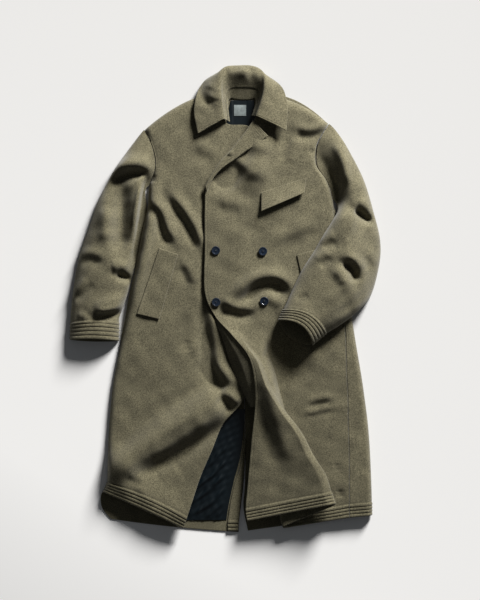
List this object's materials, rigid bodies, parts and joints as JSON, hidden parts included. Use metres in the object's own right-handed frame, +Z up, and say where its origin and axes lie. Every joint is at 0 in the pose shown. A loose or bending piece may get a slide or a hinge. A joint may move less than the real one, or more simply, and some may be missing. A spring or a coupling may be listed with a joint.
{
  "type": "bridge coat",
  "caption": "Long double-breasted coat of heavy wool laid flat on its back, half open, with a wide turned-down collar, channel-quilted hem and cuffs, slanted welt pockets and a satin lining.",
  "frame": {"origin": "middle of the coat's box, on the surface that it lies on", "axes": "+X to the viewer's right, which is the wearer's left, +Y towards the collar, +Z up from the surface"},
  "size_m": [0.8238, 1.235, 0.0714],
  "materials": {
    "wool": "heavy mottled olive-taupe melton wool with a short brushed nap",
    "satin": "dark blue-black satin lining",
    "label": "pale grey woven label, bare",
    "horn": "polished blue-black horn-like plastic"
  },
  "bodies": {
    "root": {"back_right": "wool", "back_left": "wool", "back_left_wrap": "wool", "front_right": "wool", "front_left": "wool", "facing_left": "wool", "lapel_left": "wool", "sleeve_right_top": "wool", "sleeve_right_under": "wool", "sleeve_left_top": "wool", "sleeve_left_under": "wool", "collar": "wool", "collar_stand": "wool", "vent_facing": "wool", "welt_right": "wool", "welt_left": "wool", "welt_chest": "wool", "lining_back": "satin", "lining_neck": "satin", "label": "label", "button_1": "horn", "button_2": "horn", "button_3": "horn", "button_4": "horn"}
  },
  "joints": []
}
